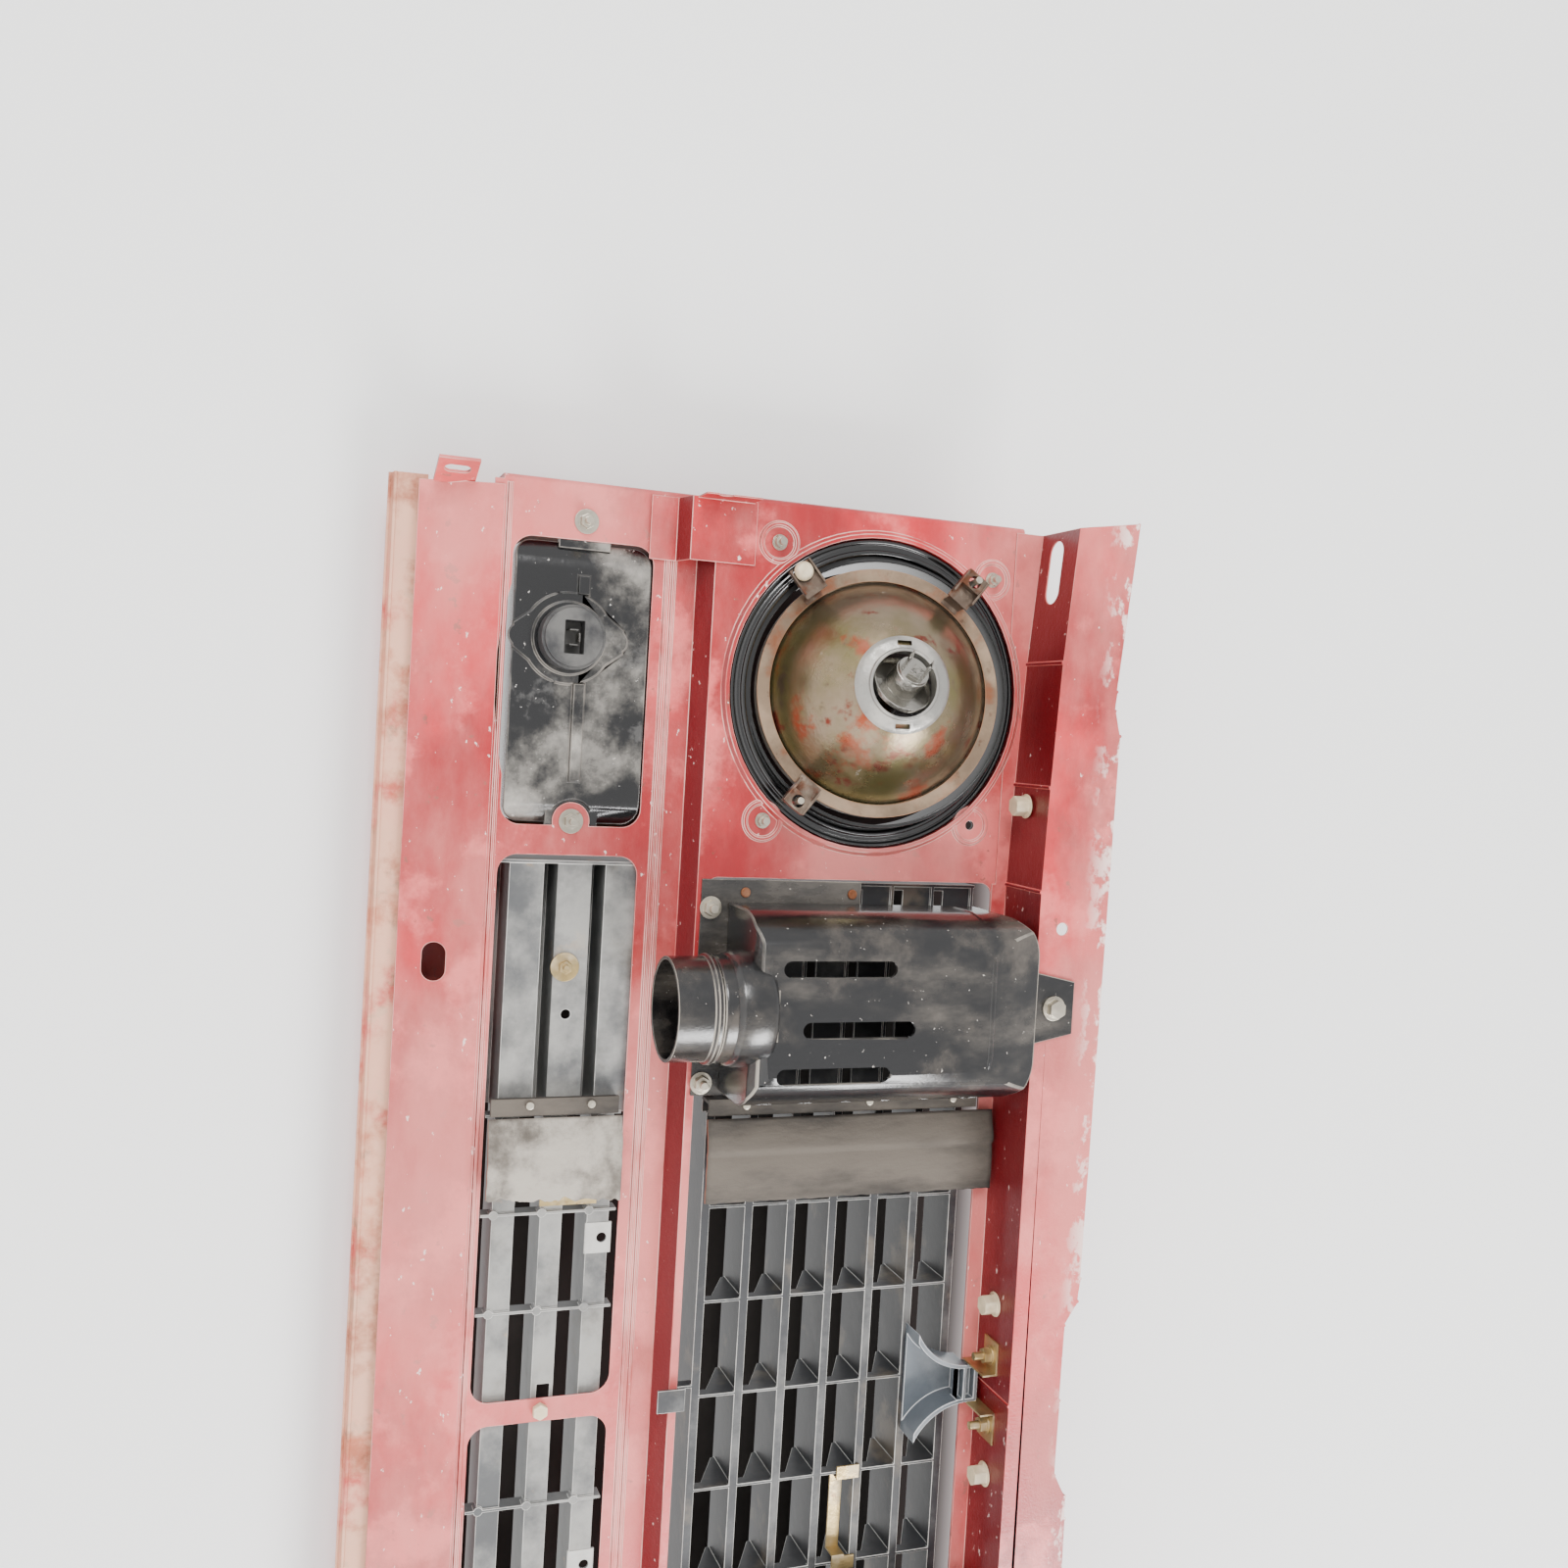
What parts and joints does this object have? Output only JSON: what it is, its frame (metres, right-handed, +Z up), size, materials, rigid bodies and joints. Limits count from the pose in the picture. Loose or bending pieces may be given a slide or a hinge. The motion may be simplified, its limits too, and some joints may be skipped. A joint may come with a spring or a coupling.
{
  "type": "vehicle front grille panel",
  "caption": "Pressed steel front panel of a small truck with upper and lower grilles, two aimable round headlamps, two turn lamps, an air intake duct and rubber air flaps.",
  "frame": {"origin": "on the centre line, on the rear face of the top ledge, level with its two bolt holes", "axes": "+X to the vehicle's right, +Y forward, +Z up, as the panel stands on the vehicle; the pictured rear faces -Y"},
  "size_m": [1.2882, 0.1639, 0.5204],
  "materials": {
    "red_panel": "faded red body paint with dust and rust spots",
    "grille_black": "weathered black moulding with pale dust on its edges",
    "grille_grey": "weathered grey moulding",
    "duct_plastic": "black moulding under brown dust",
    "zinc": "zinc plated steel, dulled",
    "yellow_zinc": "yellow passivated zinc",
    "cream_plastic": "cream nylon",
    "copper_rivet": "dull copper",
    "flap_rubber": "aged rubber, dusty",
    "bucket_black": "gloss black moulding",
    "lamp_ring": "rusted plated steel",
    "reflector_metal": "bare back of the reflector with rust patches",
    "bright_steel": "bright plated steel",
    "lens_glass": "clear fluted glass",
    "turn_black": "black moulding, dusty",
    "turn_amber": "amber lens",
    "bulb_glass": "clear bulb glass"
  },
  "bodies": {
    "root": {"front_panel": "red_panel", "top_rail": "red_panel", "bottom_strip": "red_panel", "outer_skin": "red_panel", "joint_plate_left": "red_panel", "joint_plate_right": "red_panel", "upper_grille": "grille_black", "lower_grille": "grille_grey", "grille_gusset": "grille_black", "gusset_brackets": "yellow_zinc", "gusset_bolts": "yellow_zinc", "badge_bracket": "yellow_zinc", "grille_fixings": "zinc", "rail_bolts": "cream_plastic", "crossbar_bolts": "cream_plastic", "duct_body": "duct_plastic", "duct_base_plate": "duct_plastic", "duct_rivets": "copper_rivet", "duct_spigot": "duct_plastic", "duct_tail_bar": "duct_plastic", "duct_bolts": "zinc", "flap_retainers": "flap_rubber", "flap_rivets": "cream_plastic", "headlamp_bucket_left": "bucket_black", "headlamp_bucket_right": "bucket_black", "headlamp_bolts_left": "cream_plastic", "headlamp_bolts_right": "cream_plastic", "aim_screws_left": "zinc", "aim_screws_right": "zinc", "turn_housing_left": "turn_black", "turn_housing_right": "turn_black", "turn_lens_left": "turn_amber", "turn_lens_right": "turn_amber", "turn_nuts_left": "cream_plastic", "turn_nuts_right": "cream_plastic"},
    "headlamp_pivot_left": {"aim_pivot_left": "cream_plastic"},
    "headlamp_left": {"headlamp_ring_left": "lamp_ring", "headlamp_reflector_left": "reflector_metal", "headlamp_lens_left": "lens_glass", "bulb_collar_left": "bright_steel", "headlamp_bulb_left": "bright_steel", "aim_clips_left": "zinc"},
    "turn_socket_left": {"turn_socket_left": "turn_black", "turn_bulb_left": "bulb_glass"},
    "flap_upper_left": {"flap_upper_left": "flap_rubber"},
    "flap_lower_left": {"flap_lower_left": "flap_rubber"},
    "headlamp_pivot_right": {"aim_pivot_right": "cream_plastic"},
    "headlamp_right": {"headlamp_ring_right": "lamp_ring", "headlamp_reflector_right": "reflector_metal", "headlamp_lens_right": "lens_glass", "bulb_collar_right": "bright_steel", "headlamp_bulb_right": "bright_steel", "aim_clips_right": "zinc"},
    "turn_socket_right": {"turn_socket_right": "turn_black", "turn_bulb_right": "bulb_glass"},
    "flap_upper_right": {"flap_upper_right": "flap_rubber"},
    "flap_lower_right": {"flap_lower_right": "flap_rubber"}
  },
  "joints": [
    {"name": "headlamp_side_aim_left", "type": "hinge", "parent": "root", "child": "headlamp_pivot_left", "pos_m": [-0.59055, 0.04024, -0.19949], "axis": [0, 0, 1], "range_deg": [-1.5, 1.5]},
    {"name": "headlamp_height_aim_left", "type": "hinge", "parent": "headlamp_pivot_left", "child": "headlamp_left", "pos_m": [-0.59055, 0.04024, -0.19949], "axis": [1, 0, 0], "range_deg": [-2, 2]},
    {"name": "turn_socket_twist_left", "type": "hinge", "parent": "root", "child": "turn_socket_left", "pos_m": [-0.5329, 0.071, -0.35635], "axis": [0, 1, 0], "range_deg": [0, 45]},
    {"name": "flap_upper_bend_left", "type": "hinge", "parent": "root", "child": "flap_upper_left", "pos_m": [-0.2058, 0.0485, -0.1427], "axis": [0, 0, -1], "range_deg": [-1.5, 45], "stiffness_Nm_per_rad": 0.25},
    {"name": "flap_lower_bend_left", "type": "hinge", "parent": "root", "child": "flap_lower_left", "pos_m": [-0.2058, 0.0665, -0.34735], "axis": [0, 0, -1], "range_deg": [-1.5, 45], "stiffness_Nm_per_rad": 0.1},
    {"name": "headlamp_side_aim_right", "type": "hinge", "parent": "root", "child": "headlamp_pivot_right", "pos_m": [0.59055, 0.04024, -0.19949], "axis": [0, 0, 1], "range_deg": [-1.5, 1.5]},
    {"name": "headlamp_height_aim_right", "type": "hinge", "parent": "headlamp_pivot_right", "child": "headlamp_right", "pos_m": [0.59055, 0.04024, -0.19949], "axis": [1, 0, 0], "range_deg": [-2, 2]},
    {"name": "turn_socket_twist_right", "type": "hinge", "parent": "root", "child": "turn_socket_right", "pos_m": [0.5329, 0.071, -0.35635], "axis": [0, 1, 0], "range_deg": [0, 45]},
    {"name": "flap_upper_bend_right", "type": "hinge", "parent": "root", "child": "flap_upper_right", "pos_m": [0.2058, 0.0485, -0.1427], "axis": [0, 0, 1], "range_deg": [-1.5, 45], "stiffness_Nm_per_rad": 0.25},
    {"name": "flap_lower_bend_right", "type": "hinge", "parent": "root", "child": "flap_lower_right", "pos_m": [0.2058, 0.0665, -0.34735], "axis": [0, 0, 1], "range_deg": [-1.5, 45], "stiffness_Nm_per_rad": 0.1}
  ]
}
